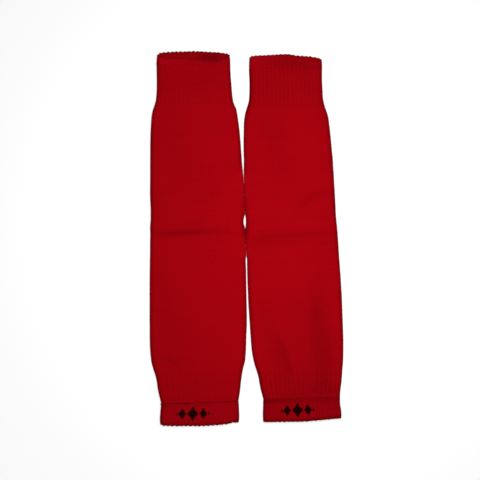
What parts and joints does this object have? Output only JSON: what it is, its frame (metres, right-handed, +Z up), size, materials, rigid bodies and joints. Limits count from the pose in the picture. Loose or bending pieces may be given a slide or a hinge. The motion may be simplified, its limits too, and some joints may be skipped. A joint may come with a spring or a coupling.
{
  "type": "pair of footless knee socks",
  "caption": "Pair of plain knitted footless knee socks lying flat side by side: tubes with a rib cuff, a plain leg, a ribbed ankle and doubled welts.",
  "frame": {"origin": "middle of the pair's box, on the surface that the pair lies on", "axes": "+X towards the right sock as seen from above, +Y towards the mouths, +Z up from the surface"},
  "size_m": [0.2067, 0.4003, 0.008],
  "materials": {
    "leg_knit": "matt plain and rib knit",
    "welt_knit": "matt doubled knit, slightly darker"
  },
  "bodies": {
    "root": {"left_top_welt": "welt_knit", "left_leg": "leg_knit", "left_ankle_welt": "welt_knit", "right_top_welt": "welt_knit", "right_leg": "leg_knit", "right_ankle_welt": "welt_knit"}
  },
  "joints": []
}
